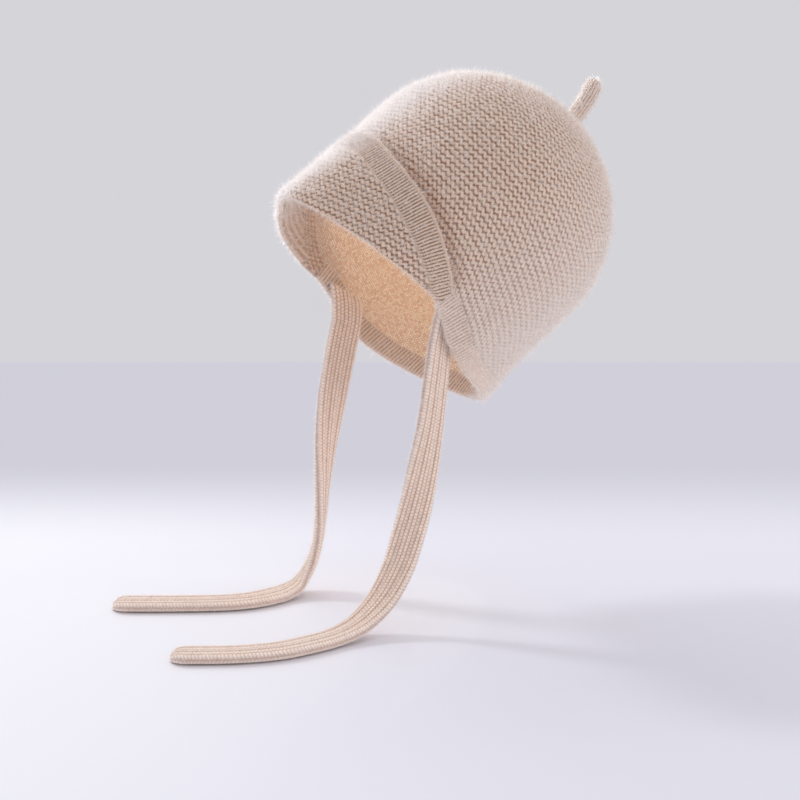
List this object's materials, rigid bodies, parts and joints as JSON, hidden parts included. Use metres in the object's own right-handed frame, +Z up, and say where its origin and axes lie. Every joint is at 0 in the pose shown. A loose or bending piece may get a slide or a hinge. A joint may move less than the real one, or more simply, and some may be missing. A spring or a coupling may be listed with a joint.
{
  "type": "knitted baby bonnet",
  "caption": "Knitted baby bonnet with a turned peak, a ribbed band and hem, straps to tie and a short stem on top.",
  "frame": {"origin": "head_seat: the top of the hollow, on the bonnet's own middle line, where a head bears", "axes": "+Z up as the bonnet is held in the picture, -Y the way its peak looks, +X the wearer's left"},
  "size_m": [0.1625, 0.3124, 0.3039],
  "materials": {
    "seed_knit": "cream wool in a seed stitch, matt with a short soft nap",
    "rib_knit": "the same cream wool in a fine rib, matt",
    "strap_knit": "the same cream wool in a thick lengthwise rib, matt"
  },
  "bodies": {
    "root": {"crown": "seed_knit", "hem_band": "rib_knit", "peak": "seed_knit", "peak_band": "rib_knit", "tie_left": "strap_knit", "tie_right": "strap_knit", "stem": "seed_knit"}
  },
  "joints": []
}
